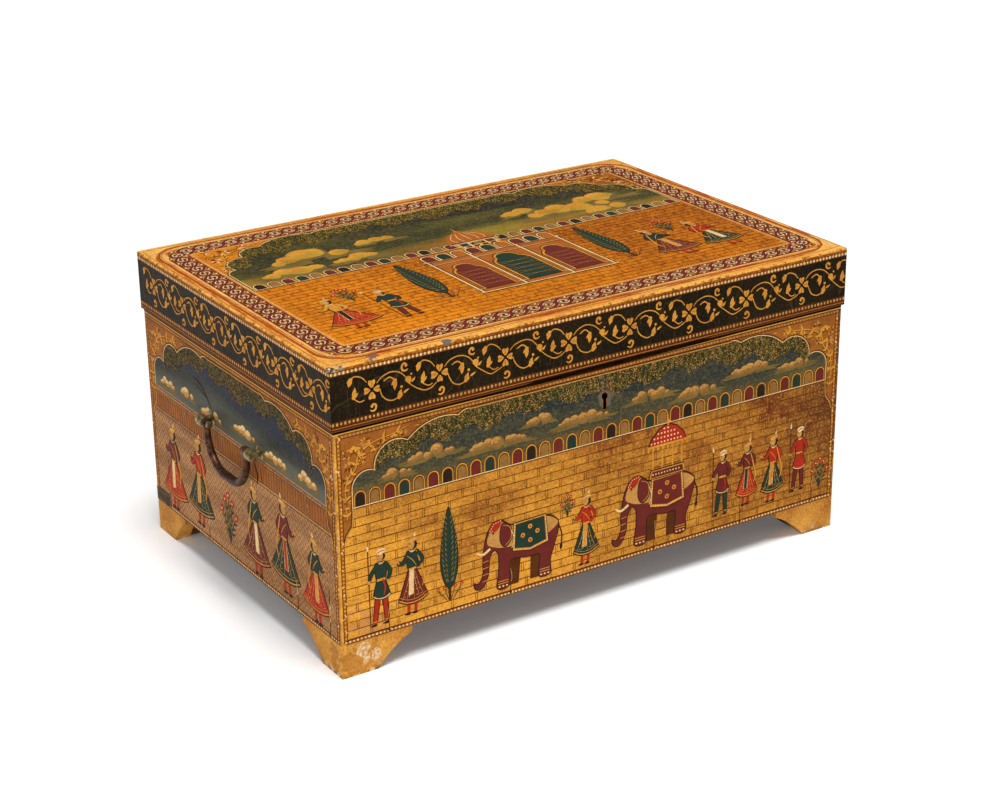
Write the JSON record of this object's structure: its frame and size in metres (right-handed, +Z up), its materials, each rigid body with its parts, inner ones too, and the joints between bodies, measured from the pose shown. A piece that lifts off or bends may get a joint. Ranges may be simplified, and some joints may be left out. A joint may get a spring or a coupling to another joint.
{
  "type": "chest",
  "caption": "Painted and varnished wooden chest with a hinged lid, bracket feet, a drop handle on each end and a lock.",
  "frame": {"origin": "on the floor under the middle of the chest", "axes": "+X along the chest's length towards its right end, +Y towards its back, +Z up"},
  "size_m": [0.741, 0.48, 0.369],
  "materials": {
    "painted_wood": "varnished paint",
    "painted_lid": "varnished paint",
    "black_frieze": "varnished paint",
    "ochre_wood": "worn varnished paint",
    "bare_wood": "bare",
    "repair_wood": "bare, weathered",
    "handle_iron": "dark patina",
    "lock_iron": "dull",
    "brass": "aged"
  },
  "bodies": {
    "carcase": {"back_board": "painted_wood", "back_left_foot_back": "ochre_wood", "back_left_foot_block": "bare_wood", "back_left_foot_side": "ochre_wood", "back_right_foot_back": "ochre_wood", "back_right_foot_block": "bare_wood", "back_right_foot_side": "ochre_wood", "bottom_board": "bare_wood", "corner_patch": "repair_wood", "front_board": "painted_wood", "front_left_foot_block": "bare_wood", "front_left_foot_front": "ochre_wood", "front_left_foot_side": "ochre_wood", "front_right_foot_block": "bare_wood", "front_right_foot_front": "ochre_wood", "front_right_foot_side": "ochre_wood", "handle_roves": "lock_iron", "hinge_body_screws": "lock_iron", "left_back_post": "brass", "left_end_board": "painted_wood", "left_front_post": "brass", "left_hinge_body_leaf": "lock_iron", "left_hinge_pin": "lock_iron", "lock_case": "lock_iron", "lock_plate": "lock_iron", "lock_screws": "lock_iron", "right_back_post": "brass", "right_end_board": "painted_wood", "right_front_post": "brass", "right_hinge_body_leaf": "lock_iron", "right_hinge_pin": "lock_iron"},
    "lid": {"hinge_lid_screws": "lock_iron", "left_hinge_lid_leaf": "lock_iron", "lid_back_rail": "black_frieze", "lid_front_rail": "black_frieze", "lid_left_rail": "black_frieze", "lid_panel": "painted_lid", "lid_right_rail": "black_frieze", "lid_staple_plate": "lock_iron", "right_hinge_lid_leaf": "lock_iron", "staple_screws": "lock_iron"},
    "lock_bolt": {"lock_bolt": "lock_iron"},
    "left_bail": {"left_bail": "handle_iron"},
    "right_bail": {"right_bail": "handle_iron"}
  },
  "joints": [
    {"name": "lid_hinge", "type": "hinge", "parent": "carcase", "child": "lid", "pos_m": [0, 0.237, 0.2954], "axis": [-1, 0, 0], "range_deg": [0, 110]},
    {"name": "bolt_slide", "type": "slide", "parent": "carcase", "child": "lock_bolt", "axis": [1, 0, 0], "range_m": [0, 0.008]},
    {"name": "left_bail_swing", "type": "hinge", "parent": "carcase", "child": "left_bail", "pos_m": [-0.3635, 0, 0.21], "axis": [0, 1, 0], "range_deg": [-7, 187]},
    {"name": "right_bail_swing", "type": "hinge", "parent": "carcase", "child": "right_bail", "pos_m": [0.3635, 0, 0.21], "axis": [0, -1, 0], "range_deg": [-7, 187]}
  ]
}
